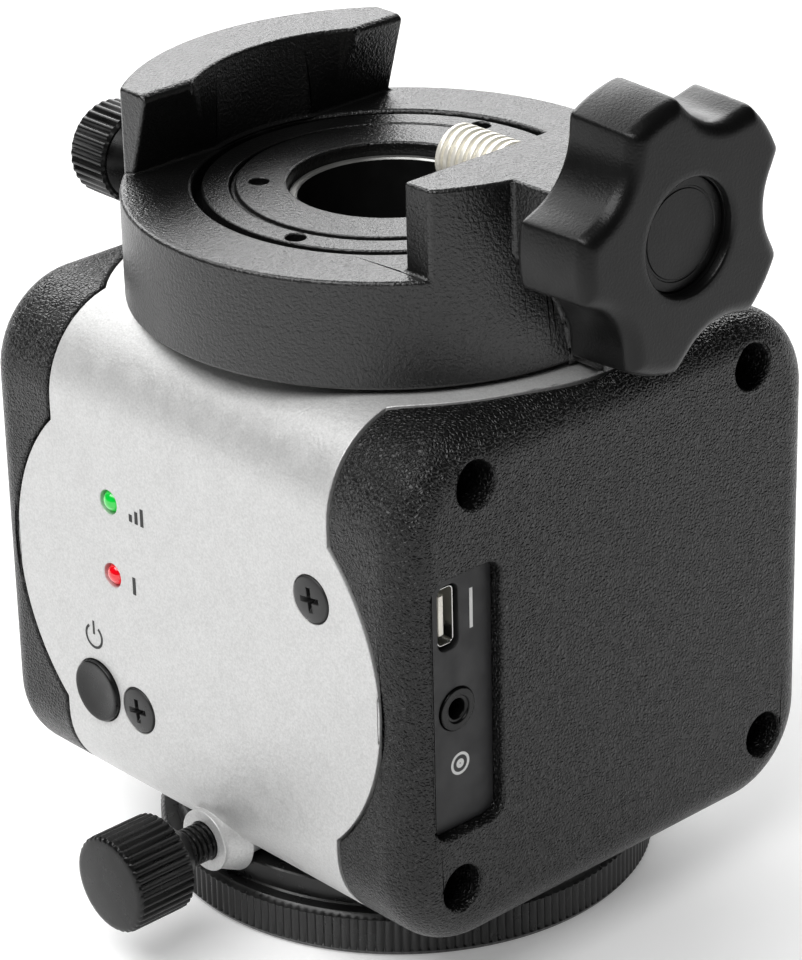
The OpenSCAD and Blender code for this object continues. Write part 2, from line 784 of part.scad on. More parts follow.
module tripod_adapter() {
    color(knob_black) difference() {
        union() {
            rod_z(flange_r - 0.4, 0, flange_t);
            rod_z(flange_r, 0.6, flange_t - 0.5);
            rod_z(30, flange_t - 0.1, neck_z - 0.05);
            rod_z(spigot_r, neck_z - 0.1, 18);
        }
        rod_z(tripod_r, -1, neck_z);
        difference() {
            rod_z(spigot_r + 1, base_lock_z - 2.4, base_lock_z + 2.4);
            rod_z(groove_r, 0, 30);
        }
    }
}

main_housing();
port_cover();
battery_cover();
port_panel();
usb_socket();
shutter_jack();
port_board();
control_board();
board_standoffs();
green_led();
red_led();
tact_switch();
cover_screws();
front_screws();
battery_holder();
battery_cells();
battery_contacts();
bearing_outer_rings();
bearing_balls();
drive_bracket();
bracket_screws();
gear_motor();
power_button();
saddle();
lock_ring();
drive_hub();
bore_liner();
worm_wheel();
bearing_inner_rings();
worm();
worm_shaft();
worm_gear();
motor_shaft();
motor_pinion();
clamp_pad();
clamp_screw();
clamp_knob();
knob_cap();
axis_lock_pad();
axis_lock_screw();
base_lock_pad();
base_lock_screw();
tripod_adapter();
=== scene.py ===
"""Looks for the compact star tracker mount: pieces, materials, studio light and camera."""
import math

import bmesh
import bpy
import numpy as np
from mathutils import Matrix, Vector


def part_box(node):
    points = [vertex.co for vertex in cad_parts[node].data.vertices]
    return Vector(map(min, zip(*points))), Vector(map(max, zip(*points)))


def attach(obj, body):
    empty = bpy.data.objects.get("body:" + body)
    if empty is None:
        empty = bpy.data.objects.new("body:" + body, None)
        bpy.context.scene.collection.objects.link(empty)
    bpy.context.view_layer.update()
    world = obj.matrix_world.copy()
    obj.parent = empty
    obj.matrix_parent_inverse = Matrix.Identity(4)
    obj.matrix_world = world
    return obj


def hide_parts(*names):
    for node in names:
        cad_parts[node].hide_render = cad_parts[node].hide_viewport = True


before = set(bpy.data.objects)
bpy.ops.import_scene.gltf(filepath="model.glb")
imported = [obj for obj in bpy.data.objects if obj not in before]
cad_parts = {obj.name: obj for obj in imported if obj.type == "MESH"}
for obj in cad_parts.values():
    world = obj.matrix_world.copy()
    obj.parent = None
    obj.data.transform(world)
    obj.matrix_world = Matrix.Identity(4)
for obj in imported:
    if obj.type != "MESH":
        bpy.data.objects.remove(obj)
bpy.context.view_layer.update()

MM = 0.001
TAU = 2 * math.pi


def box_mm(node):
    """Lowest and highest corner of a CAD node in millimetres."""
    low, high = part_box(node)
    return low / MM, high / MM


# ---------- sizes, in millimetres ----------

cover_low, cover_high = box_mm("port_cover")
saddle_low, saddle_high = box_mm("saddle")
knob_low, knob_high = box_mm("clamp_knob")
axis_low, axis_high = box_mm("axis_lock_screw")
base_low, base_high = box_mm("base_lock_screw")
foot_high = box_mm("tripod_adapter")[1]
hub_low, hub_high = box_mm("drive_hub")
panel_low, panel_high = box_mm("port_panel")
button_low, button_high = box_mm("power_button")

HALF_W = cover_high.x
HALF_D = cover_high.y
Z0 = cover_low.z
Z1 = cover_high.z
CORNER_R = 12
EDGE_R = 5
WALL = 3
COVER_WALL = 2.5
SPLIT_X = 25.7
LENS_X = 34
LENS_R = 27.1
LENS_Z = 42.7
SHELF_R = 35.9
SHELF_LOW, SHELF_HIGH = 18, 68
GAP = 0.4
NECK_Z = Z0 - 0.4
COVER_SCREWS = [(-23.3, 70.8), (23.3, 70.8), (-26.5, 18.6), (26.5, 18.6)]
FRONT_SCREWS = [(22.6, 54.5), (-11.2, 26.6)]
LAMP_X = -15
LAMP_Z = {"green_led": 54.4, "red_led": 44.3}
BUTTON = (-19.2, 26.5)
USB = (-26.6, 54.4)
JACK = (-25.5, 42)
DISC_R = 33.2
DISC_TOP = hub_high.z
JAW_TOP = saddle_high.z
JAW_SLOPE = 15.7
FIXED_JAW_X, FIXED_JAW_Y = 23.5, 21.4
SCREW_JAW_X, SCREW_JAW_Y = 23, 19
RELIEF_R = 24.8
RECESS_R = 24.4
SCALLOP_R = 8.6
SCALLOP_AT = 21.9
PORT_Y = (-30.4, -19.6)
PORT_Z = (26, 60.2)
BUTTON_HOLE_R = 4.25
LAMP_HOLE_R = 1.62
FRONT_PILOT_R, FRONT_SEAT_R, FRONT_SEAT_Y = 1.55, 3.12, -34.2
SCREW_POST_R, SCREW_PILOT_R, SCREW_SHANK_R, SCREW_WELL_R = 4.2, 1.3, 1.6, 2.95
SCREW_POST_START = 17.5
BOARD_POST_Z = (28, 58)
BEARING_R, BEARING_TALL, BEARING_PLAY = 21, 7, 0.05
TOP_SEAT_R, LOW_SEAT_R = 24, 26
TOP_HOLE_R, LOW_HOLE_R = 19, 17
SPIGOT_HOLE_R, SPIGOT_HOLE_TOP = 22, 18.5
FLANGE_SEAT_R = 30.4
THUMB_R, THUMB_PITCH, THUMB_HOLE_R = 2.5, 0.8, 2.55
CLAMP_R, CLAMP_PITCH, CLAMP_HOLE_R = 4.0, 1.25, 4.05
PIN_HOLE_R = 1.25
KNOB_LOBES = 5
KNOB_TIP_BACK, KNOB_TIP_MIDDLE, KNOB_TIP_FACE = 17.2, 17.0, 16.8
KNOB_RECESS_R = 7.0
BORE_R, HUB_BORE_R = 11.6, 12.75
INK_PROUD, INK_SUNK = 0.03, 0.05
CLAMP_Z = (knob_low.z + knob_high.z) / 2
AXIS_LOCK_Z = (axis_low.z + axis_high.z) / 2
BASE_LOCK_Z = (base_low.z + base_high.z) / 2


# ---------- mesh helpers: all take millimetres ----------

def new_object(name, verts, faces):
    """A linked mesh object with its normals turned outwards."""
    mesh = bpy.data.meshes.new(name)
    mesh.from_pydata([Vector(v) * MM for v in verts], [], faces)
    work = bmesh.new()
    work.from_mesh(mesh)
    bmesh.ops.recalc_face_normals(work, faces=work.faces)
    work.to_mesh(mesh)
    work.free()
    obj = bpy.data.objects.new(name, mesh)
    bpy.context.scene.collection.objects.link(obj)
    return obj


def loft(name, rings, closed=False):
    """Skin over rings of points. An open run of rings gets a cap at each end."""
    count, size = len(rings), len(rings[0])
    verts = [p for ring in rings for p in ring]
    faces = []
    for i in range(count if closed else count - 1):
        a, b = i * size, (i + 1) % count * size
        faces += [(a + k, a + (k + 1) % size, b + (k + 1) % size, b + k) for k in range(size)]
    if not closed:
        faces.append(tuple(reversed(range(size))))
        faces.append(tuple(range((count - 1) * size, count * size)))
    return new_object(name, verts, faces)


def on_axis(axis, along, radius, angle, at=(0, 0)):
    """A point at a radius and angle about an axis, turning right-handed about it."""
    u, v = radius * math.cos(angle), radius * math.sin(angle)
    if axis == "X":
        return (along, at[0] + u, at[1] + v)
    if axis == "Y":
        return (at[0] + v, along, at[1] + u)
    return (at[0] + u, at[1] + v, along)


def rod(radius, start, end, axis="Z", at=(0, 0), sides=96):
    """A plain cylinder, used as a cutting or joining tool."""
    rings = [[on_axis(axis, s, radius, TAU * k / sides, at) for k in range(sides)] for s in (start, end)]
    return loft("tool", rings)


def cone(start, end, axis="Z", at=(0, 0), sides=96):
    """A cone between (along, radius) at its start and at its end."""
    rings = [[on_axis(axis, s, r, TAU * k / sides, at) for k in range(sides)] for s, r in (start, end)]
    return loft("tool", rings)


def block(x, y, z):
    """A box between two values on each axis."""
    rings = [[(x[0], y[0], h), (x[1], y[0], h), (x[1], y[1], h), (x[0], y[1], h)] for h in z]
    return loft("tool", rings)


def prism(outline, axis, start, end):
    """An outline run along an axis. The outline's pair is (y, z), (x, z) or (x, y)."""
    place = {"X": lambda s, p: (s, p[0], p[1]), "Y": lambda s, p: (p[0], s, p[1]),
             "Z": lambda s, p: (p[0], p[1], s)}[axis]
    return loft("tool", [[place(s, p) for p in outline] for s in (start, end)])


def rounded_outline(low, high, radius, steps=10):
    """A rounded rectangle between two corners."""
    points = []
    corners = [(high[0] - radius, high[1] - radius), (low[0] + radius, high[1] - radius),
               (low[0] + radius, low[1] + radius), (high[0] - radius, low[1] + radius)]
    for quarter, (u, v) in enumerate(corners):
        for k in range(steps + 1):
            a = math.pi / 2 * (quarter + k / steps)
            points.append((u + radius * math.cos(a), v + radius * math.sin(a)))
    return points


def bake(obj):
    """Applies the object's modifiers to its mesh."""
    graph = bpy.context.evaluated_depsgraph_get()
    made = bpy.data.meshes.new_from_object(obj.evaluated_get(graph))
    old = obj.data
    obj.modifiers.clear()
    obj.data = made
    bpy.data.meshes.remove(old)


def combine(obj, tool, operation):
    """Boolean of obj with a tool, which is used up."""
    step = obj.modifiers.new("step", "BOOLEAN")
    step.operation = operation
    step.solver = "MANIFOLD"
    step.object = tool
    bake(obj)
    mesh = tool.data
    bpy.data.objects.remove(tool)
    bpy.data.meshes.remove(mesh)
    return obj


def cut(obj, *tools):
    for tool in tools:
        combine(obj, tool, "DIFFERENCE")
    return obj


def add(obj, *tools):
    for tool in tools:
        combine(obj, tool, "UNION")
    return obj


def keep(obj, tool):
    return combine(obj, tool, "INTERSECT")


def tidy_mesh(obj, seams=()):
    """Merges close points and flat neighbours. Faces stay split along the seams, each (axis, place),
    so that no flat face has to run round a hole."""
    work = bmesh.new()
    work.from_mesh(obj.data)
    bmesh.ops.remove_doubles(work, verts=work.verts, dist=0.012 * MM)
    for axis, place in seams:
        normal = Vector([float(axis == a) for a in "XYZ"])
        bmesh.ops.bisect_plane(work, geom=work.verts[:] + work.edges[:] + work.faces[:], dist=0.004 * MM,
                               plane_co=normal * place * MM, plane_no=normal)
    for face in work.faces:
        centre = face.calc_center_median()
        face.material_index = sum(2 ** i for i, (axis, place) in enumerate(seams)
                                  if centre["XYZ".index(axis)] > place * MM)
    bmesh.ops.dissolve_limit(work, angle_limit=math.radians(0.3), verts=work.verts, edges=work.edges,
                             delimit={"MATERIAL"})
    for face in work.faces:
        face.material_index = 0
    bmesh.ops.recalc_face_normals(work, faces=work.faces)
    work.to_mesh(obj.data)
    work.free()


def soften(obj, width, seams, segments=3, angle=32):
    """Rounds the sharp edges a little, in millimetres."""
    tidy_mesh(obj, seams)
    obj.data.shade_smooth()
    obj.data.set_sharp_from_angle(angle=math.radians(angle))
    edge = obj.modifiers.new("soft_edges", "BEVEL")
    edge.width = width * MM
    edge.segments = segments
    edge.limit_method = "ANGLE"
    edge.angle_limit = math.radians(angle)
    edge.use_clamp_overlap = False
    even = obj.modifiers.new("even_shading", "WEIGHTED_NORMAL")
    even.keep_sharp = True
    return obj


def smooth(obj, angle=40):
    """Smooth shading up to an angle."""
    obj.data.shade_smooth()
    obj.data.set_sharp_from_angle(angle=math.radians(angle))
    return obj


def lathe(name, profile, axis="Z", at=(0, 0), sides=128, ribs=0, depth=0.0, closed=False):
    """Turns a profile of (along, radius[, share of the rib depth]) about an axis."""
    per_rib = 8
    sides = ribs * per_rib if ribs else sides
    rings = []
    for point in profile:
        along, radius = point[0], max(point[1], 0.02)
        share = point[2] if len(point) > 2 else 0.0
        ring = []
        for k in range(sides):
            groove = (0.5 + 0.5 * math.cos(TAU * k / per_rib)) ** 1.6 if ribs else 0.0
            ring.append(on_axis(axis, along, radius - depth * share * groove, TAU * k / sides, at))
        rings.append(ring)
    return smooth(loft(name, rings, closed))


def threaded_rod(name, radius, pitch, depth, start, end, axis, at=(0, 0), sides=48, steps=12):
    """A right-hand screw thread between two places on an axis, with a tapered end at the start."""
    rings = []
    count = int(abs(end - start) / pitch * steps)
    for i in range(count + 1):
        along = start + (end - start) * i / count
        taper = max(0.0, 1 - abs(along - start) / (0.8 * depth + 0.01)) * depth * 0.9
        ring = []
        for k in range(sides):
            phase = (along / pitch - k / sides) % 1.0
            ridge = abs(2 * phase - 1)
            cut_in = depth * max(0.0, (ridge - 0.5) / 0.5)
            ring.append(on_axis(axis, along, min(radius - cut_in, radius - taper), TAU * k / sides, at))
        rings.append(ring)
    return smooth(loft(name, rings), 60)


# ---------- materials ----------

def node(tree, kind, **values):
    made = tree.nodes.new(kind)
    for key, value in values.items():
        setattr(made, key, value)
    return made


def noise(tree, coords, size_mm, detail=2.0, rough=0.5, stretch=None):
    """Noise with features of a real size, on the object's own coordinates."""
    source = coords
    if stretch:
        mapping = node(tree, "ShaderNodeMapping")
        mapping.inputs["Scale"].default_value = stretch
        tree.links.new(coords, mapping.inputs["Vector"])
        source = mapping.outputs["Vector"]
    made = node(tree, "ShaderNodeTexNoise")
    made.inputs["Scale"].default_value = 1 / (size_mm * MM)
    made.inputs["Detail"].default_value = detail
    made.inputs["Roughness"].default_value = rough
    tree.links.new(source, made.inputs["Vector"])
    return made.outputs["Fac"]


def cells(tree, coords, size_mm):
    """Rounded cells of a real size: high in the middle, low along their borders."""
    warp = node(tree, "ShaderNodeTexNoise")
    warp.inputs["Scale"].default_value = 1 / (size_mm * 1.6 * MM)
    tree.links.new(coords, warp.inputs["Vector"])
    shift = node(tree, "ShaderNodeVectorMath", operation="MULTIPLY_ADD")
    shift.inputs[1].default_value = (size_mm * 0.7 * MM,) * 3
    tree.links.new(warp.outputs["Color"], shift.inputs[0])
    tree.links.new(coords, shift.inputs[2])
    made = node(tree, "ShaderNodeTexVoronoi", feature="DISTANCE_TO_EDGE")
    made.inputs["Scale"].default_value = 1 / (size_mm * MM)
    tree.links.new(shift.outputs["Vector"], made.inputs["Vector"])
    edge = node(tree, "ShaderNodeMapRange", interpolation_type="SMOOTHSTEP")
    edge.inputs["From Max"].default_value = 0.32
    tree.links.new(made.outputs["Distance"], edge.inputs["Value"])
    return edge.outputs["Result"]


def spread(tree, value, low, high, start=0.3, end=0.7):
    """Maps a noise value to a range."""
    made = node(tree, "ShaderNodeMapRange")
    made.inputs["From Min"].default_value = start
    made.inputs["From Max"].default_value = end
    made.inputs["To Min"].default_value = low
    made.inputs["To Max"].default_value = high
    tree.links.new(value, made.inputs["Value"])
    return made.outputs["Result"]


def bump(tree, height, depth_mm, before=None):
    """Adds relief of a real depth."""
    made = node(tree, "ShaderNodeBump")
    made.inputs["Strength"].default_value = 1.0
    made.inputs["Distance"].default_value = depth_mm * MM
    tree.links.new(height, made.inputs["Height"])
    if before:
        tree.links.new(before, made.inputs["Normal"])
    return made.outputs["Normal"]


def tinted(tree, factor, dark, light):
    """A colour between two, by a factor."""
    made = node(tree, "ShaderNodeMix", data_type="RGBA")
    made.inputs["A"].default_value = (*dark, 1)
    made.inputs["B"].default_value = (*light, 1)
    tree.links.new(factor, made.inputs["Factor"])
    return made.outputs["Result"]


def surface(name, color, rough, metallic=0.0, grain=(), leather=None, mottle=(4.0, 0.06), speckle=None,
            rough_change=0.08, brushed=None, specular=0.5, coat=0.0, glow=None, clear=0.0):
    """A procedural finish. grain is (size, depth) pairs, leather one (size, depth), speckle (size, share)."""
    made = bpy.data.materials.new(name)
    made.use_nodes = True
    tree = made.node_tree
    shader = tree.nodes["Principled BSDF"]
    coords = node(tree, "ShaderNodeTexCoord").outputs["Object"]
    shader.inputs["Metallic"].default_value = metallic
    shader.inputs["Specular IOR Level"].default_value = specular
    shader.inputs["Coat Weight"].default_value = coat
    shader.inputs["Coat Roughness"].default_value = 0.12
    shader.inputs["Transmission Weight"].default_value = clear
    if glow:
        shader.inputs["Emission Color"].default_value = (*glow[0], 1)
        shader.inputs["Emission Strength"].default_value = glow[1]
    size, share = speckle or mottle
    factor = spread(tree, noise(tree, coords, size, 3.0), 0.0, 1.0)
    dark = [c * (1 - share) for c in color]
    light = [min(1.0, c * (1 + share)) for c in color]
    tree.links.new(tinted(tree, factor, dark, light), shader.inputs["Base Color"])
    stretch = {"X": (0.03, 1, 1), "Y": (1, 0.03, 1), "Z": (1, 1, 0.03)}.get(brushed)
    smear = noise(tree, coords, 0.5 if brushed else mottle[0] * 0.6, 3.0, stretch=stretch)
    wide = spread(tree, smear, rough - rough_change, rough + rough_change)
    tree.links.new(wide, shader.inputs["Roughness"])
    normal = None
    if leather:
        normal = bump(tree, cells(tree, coords, leather[0]), leather[1], normal)
    for grain_size, grain_depth in grain:
        normal = bump(tree, noise(tree, coords, grain_size, 2.0), grain_depth, normal)
    if brushed:
        normal = bump(tree, noise(tree, coords, 0.25, 2.0, stretch=stretch), 0.004, normal)
    if normal:
        tree.links.new(normal, shader.inputs["Normal"])
    return made


SILVER = surface("silver_paint", (0.60, 0.60, 0.595), 0.42, 0.35, grain=[(0.55, 0.05), (0.22, 0.02)],
                 speckle=(0.28, 0.10))
COVER = surface("leather_grain_plastic", (0.006, 0.006, 0.006), 0.32, leather=(0.52, 0.12),
                grain=[(0.26, 0.06)], specular=0.42, rough_change=0.04)
SADDLE = surface("blasted_black", (0.004, 0.004, 0.004), 0.31, grain=[(0.4, 0.12), (0.22, 0.055)],
                 specular=0.7, rough_change=0.02)
KNOB = surface("satin_plastic", (0.004, 0.004, 0.004), 0.34, grain=[(0.35, 0.035)], specular=0.3,
               rough_change=0.03)
RIBBED = surface("thumb_plastic", (0.004, 0.004, 0.004), 0.3, grain=[(0.3, 0.01)], specular=0.3)
PANEL = surface("panel_plastic", (0.014, 0.014, 0.015), 0.5, grain=[(0.25, 0.01)])
STEEL = surface("ground_steel", (0.55, 0.55, 0.54), 0.28, 1.0, brushed="Z")
PALE = surface("nickel_steel", (0.90, 0.87, 0.78), 0.34, 0.45, grain=[(0.5, 0.004)])
BLACK_STEEL = surface("black_oxide", (0.02, 0.02, 0.02), 0.34, 0.2, grain=[(0.3, 0.008)])
BRASS = surface("turned_brass", (0.62, 0.43, 0.16), 0.26, 1.0, brushed="Z")
ALLOY = surface("plain_aluminium", (0.62, 0.63, 0.65), 0.36, 1.0, brushed="X")
NYLON = surface("natural_nylon", (0.80, 0.78, 0.70), 0.45, grain=[(0.5, 0.01)])
BOARD = surface("circuit_board", (0.02, 0.13, 0.05), 0.34, grain=[(0.8, 0.01)], mottle=(2.5, 0.3))
WRAP = surface("cell_wrapper", (0.03, 0.035, 0.045), 0.22, grain=[(2.0, 0.01)])
BRIGHT = surface("bright_steel", (0.72, 0.72, 0.70), 0.18, 1.0, brushed="X")
FOOT = surface("foot_black", (0.008, 0.008, 0.008), 0.32, grain=[(0.3, 0.008)])
LINER = surface("turned_liner", (0.30, 0.30, 0.29), 0.42, 0.8, grain=[(0.4, 0.006)])
BORE = surface("bore_black", (0.006, 0.006, 0.006), 0.4, grain=[(0.3, 0.008)], specular=0.3)
GREEN_LAMP = surface("green_lamp", (0.0, 0.42, 0.03), 0.16, glow=((0.0, 0.7, 0.05), 0.35), coat=1.0,
                     mottle=(1.2, 0.25), rough_change=0.03)
RED_LAMP = surface("red_lamp", (0.55, 0.0, 0.005), 0.16, glow=((0.9, 0.0, 0.01), 0.35), coat=1.0,
                   mottle=(1.2, 0.25), rough_change=0.03)
INK = surface("black_ink", (0.012, 0.012, 0.012), 0.5, grain=[(0.2, 0.004)])
WHITE_INK = surface("white_ink", (0.78, 0.78, 0.77), 0.5, grain=[(0.2, 0.004)])


def paint(obj, material):
    obj.data.materials.clear()
    obj.data.materials.append(material)
    return obj


def piece(obj, name, body, material, slot, *nodes):
    """Names a finished piece, paints it and hangs it on its body in place of the CAD nodes."""
    obj.name = name
    paint(obj, material)
    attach(obj, body)
    if nodes:
        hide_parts(*nodes)
    return obj


# ---------- housing and covers ----------

def section(x, inset):
    """Ring of the housing's rounded cross-section, drawn in by inset, at a place along X."""
    outline = rounded_outline((-HALF_D + inset, Z0 + inset), (HALF_D - inset, Z1 - inset),
                              CORNER_R - inset, 14)
    return [(x, y, z) for y, z in outline]


def end_rings(side):
    """The rings that round one end of the outer shape, from the straight part outwards."""
    steps = 12
    rings = []
    for k in range(steps + 1):
        a = math.pi / 2 * k / steps
        rings.append(section(side * (HALF_W - EDGE_R + EDGE_R * math.sin(a)), EDGE_R * (1 - math.cos(a))))
    return rings


def housing_zone(grow):
    """The space of the cast housing inside the outer shape."""
    zone = block((-SPLIT_X - grow, SPLIT_X + grow), (-50, 50), (0, 90))
    for side in (-1, 1):
        add(zone, rod(LENS_R + grow, -50, 50, "Y", (side * (LENS_X - LENS_R), LENS_Z), 160))
    add(zone, rod(SHELF_R + grow, SHELF_HIGH, 90, sides=180), rod(SHELF_R + grow, 0, SHELF_LOW, sides=180))
    return zone


def main_housing():
    shell = loft("main_housing_shell", list(reversed(end_rings(-1))) + end_rings(1))
    keep(shell, housing_zone(0))
    cut(shell, loft("tool", [section(-60, WALL), section(60, WALL)]))
    rings_low, rings_high = box_mm("bearing_outer_rings")
    seat_low, seat_high = rings_low.z - BEARING_PLAY, rings_high.z + BEARING_PLAY
    add(shell, rod(TOP_SEAT_R, seat_high - BEARING_TALL, Z1 - 1),
        rod(LOW_SEAT_R, Z0 + 1, seat_low + BEARING_TALL))
    for y, z in COVER_SCREWS:
        for side in (-1, 1):
            ends = sorted((side * SCREW_POST_START, side * (SPLIT_X - 0.2)))
            add(shell, rod(SCREW_POST_R, *ends, "X", (y, z), 40))
    add(shell, rod(4.1, -34.5, -25, "Y", (0, BASE_LOCK_Z), 64),
        cone((-33.6, 4.1), (-30.8, 5.4), "Y", (0, BASE_LOCK_Z), 64))
    deep = BEARING_TALL + 1
    cut(shell, rod(TOP_HOLE_R, Z1 - 4, Z1 + 1), rod(BEARING_R, seat_high - deep, seat_high),
        rod(LOW_HOLE_R, 0, 40), rod(BEARING_R, seat_low, seat_low + deep),
        rod(SPIGOT_HOLE_R, -1, SPIGOT_HOLE_TOP), rod(FLANGE_SEAT_R, -2, Z0),
        rod(THUMB_HOLE_R, -40, -20, "Y", (0, BASE_LOCK_Z), 48),
        rod(BUTTON_HOLE_R, -40, -30, "Y", BUTTON, 64))
    for y, z in COVER_SCREWS:
        cut(shell, rod(SCREW_PILOT_R, -30, 30, "X", (y, z), 24))
    for z in LAMP_Z.values():
        cut(shell, rod(LAMP_HOLE_R, -40, -28, "Y", (LAMP_X, z), 48))
    for at in FRONT_SCREWS:
        cut(shell, rod(FRONT_PILOT_R, -40, -30, "Y", at, 32),
            rod(FRONT_SEAT_R, -40, FRONT_SEAT_Y, "Y", at, 64))
    hole_middles = (BUTTON[0], LAMP_X, FRONT_SCREWS[1][0], 0, FRONT_SCREWS[0][0])
    soften(shell, 0.13, [("X", x) for x in hole_middles] + [("Y", 0)])
    return piece(shell, "main_housing_shell", "housing", SILVER, "silver_paint", "main_housing")


def cover(side, name, cad_node):
    """End cover on one side (-1 or 1), with its four screw wells."""
    start = side * (SPLIT_X + GAP - 4)
    shell = loft(name, [section(start, 0)] + end_rings(side))
    inside = side * (HALF_W - COVER_WALL)
    cut(shell, loft("tool", [section(side * 10, COVER_WALL), section(inside, COVER_WALL)]))
    for y, z in COVER_SCREWS:
        ends = sorted((side * (SPLIT_X + GAP + 0.1), inside + side * 0.5))
        add(shell, rod(SCREW_POST_R, *ends, "X", (y, z), 48))
    if side > 0:
        for z in BOARD_POST_Z:
            add(shell, rod(2, 31.6, HALF_W - 2, "X", (1, z), 32))
        recess = rounded_outline((PORT_Y[0], PORT_Z[0]), (PORT_Y[1], PORT_Z[1]), 2)
        cut(shell, prism(recess, "X", 30, 60))
    cut(shell, housing_zone(GAP))
    for y, z in COVER_SCREWS:
        cut(shell, rod(SCREW_SHANK_R, *sorted((side * 10, side * 60)), "X", (y, z), 32),
            rod(SCREW_WELL_R, *sorted((side * 30, side * 60)), "X", (y, z), 64))
    hole_middles = sorted({z for y, z in COVER_SCREWS} | {*BOARD_POST_Z, sum(PORT_Z) / 2})
    soften(shell, 0.4, [("Z", z) for z in hole_middles] + [("Y", 0)])
    return piece(shell, name, "housing", COVER, "cover_black", cad_node)


# ---------- small parts on the front ----------

def lamp(cad_node, material, slot):
    """A domed lamp with its skirt, standing just proud of the housing."""
    y = -HALF_D
    profile = [(6.7 + y, 0), (6.7 + y, 1.9), (5.8 + y, 1.9), (5.7 + y, 1.5), (1.2 + y, 1.5)]
    profile += [(1.2 + y - 1.5 * math.sin(a), 1.5 * math.cos(a)) for a in np.linspace(0.1, math.pi / 2, 10)]
    made = lathe("tool", profile, "Y", (LAMP_X, LAMP_Z[cad_node]), 40)
    return piece(made, cad_node + "_lens", "housing", material, slot, cad_node)


def power_button():
    """A flat round button with a faint dish and a soft rim."""
    face, back = button_low.y, button_high.y
    radius = 4.15
    profile = [(back, 0), (back, 5), (back - 0.9, 5), (back - 0.9, radius), (face + 0.35, radius)]
    profile += [(face + 0.35 - 0.35 * math.sin(a), radius - 0.35 + 0.35 * math.cos(a))
                for a in np.linspace(0.2, math.pi / 2, 5)]
    profile += [(face + 0.04, 3.4), (face + 0.16, 2.6), (face + 0.26, 1.6), (face + 0.3, 0.6),
                (face + 0.3, 0)]
    made = lathe("tool", profile, "Y", BUTTON, 96)
    return piece(made, "power_button_cap", "button", RIBBED, "knob_black", "power_button")


def cross_slot(at, face):
    """The tapered cross of a Phillips head, as a cutting tool."""
    made = None
    for turn in (0.15, 0.15 + math.pi / 2):
        outline = [(-1.75, 0.5), (1.75, 0.5), (1.55, -0.05), (0.45, -1.2), (-0.45, -1.2), (-1.55, -0.05)]
        rings = []
        for side in (-0.34, 0.34):
            rings.append([(at[0] + u * math.cos(turn) - side * math.sin(turn), face - depth,
                           at[1] + u * math.sin(turn) + side * math.cos(turn)) for u, depth in outline])
        arm = loft("tool", rings)
        made = add(made, arm) if made else arm
    return made


def front_screws():
    """Two flush screws with cross heads."""
    face = box_mm("front_screws")[0].y
    made = None
    for at in FRONT_SCREWS:
        profile = [(-25.4, 0), (-25.4, 1.3), (-25.6, 1.5), (-34.3, 1.5), (-34.3, 2.95), (-34.4, 3.04),
                   (face + 0.35, 3.04), (face + 0.1, 2.9), (face, 2.6), (face - 0.06, 1.5), (face - 0.08, 0)]
        screw = cut(lathe("tool", profile, "Y", at, 64), cross_slot(at, face))
        made = add(made, screw) if made else screw
    soften(made, 0.06, [("X", at[0]) for at in FRONT_SCREWS], 2)
    return piece(made, "front_cross_screws", "housing", BLACK_STEEL, "screw_black", "front_screws")


def port_sockets():
    """The socket shell with its tongue, and the round jack with its rim."""
    y, z = USB
    low, high = box_mm("usb_socket")
    shell = prism(rounded_outline((y - 1.35, z - 3.8), (y + 1.35, z + 3.8), 0.8), "X", low.x, high.x - 0.25)
    cut(shell, prism(rounded_outline((y - 1.16, z - 3.6), (y + 1.16, z + 3.6), 0.6), "X", low.x + 0.6, 60))
    soften(shell, 0.07, [("Z", z)], 2)
    piece(shell, "usb_socket_shell", "housing", BRIGHT, "steel", "usb_socket")
    tongue = block((low.x + 0.3, high.x - 0.45), (y - 0.85, y - 0.05), (z - 2.5, z + 2.7))
    soften(tongue, 0.1, [], 2)
    piece(tongue, "usb_socket_tongue", "housing", PALE, "nylon")
    low, high = box_mm("shutter_jack")
    jack = block((low.x, 35.1), (JACK[0] - 3.2, JACK[0] + 3.2), (JACK[1] - 3, JACK[1] + 3))
    add(jack, rod(2.7, 34, high.x, "X", JACK, 64))
    cut(jack, rod(1.75, high.x - 0.25, 60, "X", JACK, 64), rod(1.3, low.x + 0.8, 60, "X", JACK, 48))
    soften(jack, 0.14, [("Z", JACK[1])])
    piece(jack, "shutter_jack_ring", "housing", RIBBED, "knob_black", "shutter_jack")


def port_panel():
    """The sunken panel with its two openings."""
    y0, y1 = PORT_Y
    z0, z1 = PORT_Z
    made = prism(rounded_outline((y0 + 0.05, z0 + 0.05), (y1 - 0.05, z1 - 0.05), 1.95), "X", 36.0,
                 panel_high.x)
    add(made, prism(rounded_outline((y0 - 0.3, z0 - 1), (y1 + 0.3, z1 + 1), 2), "X", panel_low.x, 36.15))
    opening = rounded_outline((USB[0] - 1.65, USB[1] - 4.2), (USB[0] + 1.65, USB[1] + 4.2), 1.2)
    cut(made, prism(opening, "X", 30, 60), rod(2.75, 30, 60, "X", JACK, 64))
    soften(made, 0.15, [("Z", USB[1]), ("Z", JACK[1])])
    return piece(made, "port_panel_plate", "housing", PANEL, "panel_grey", "port_panel")


# ---------- saddle and hub ----------

def rib_half(z):
    """Half width of the rib under the clamp screw's boss."""
    return 2.2 + 0.0306 * (z - saddle_low.z) ** 2


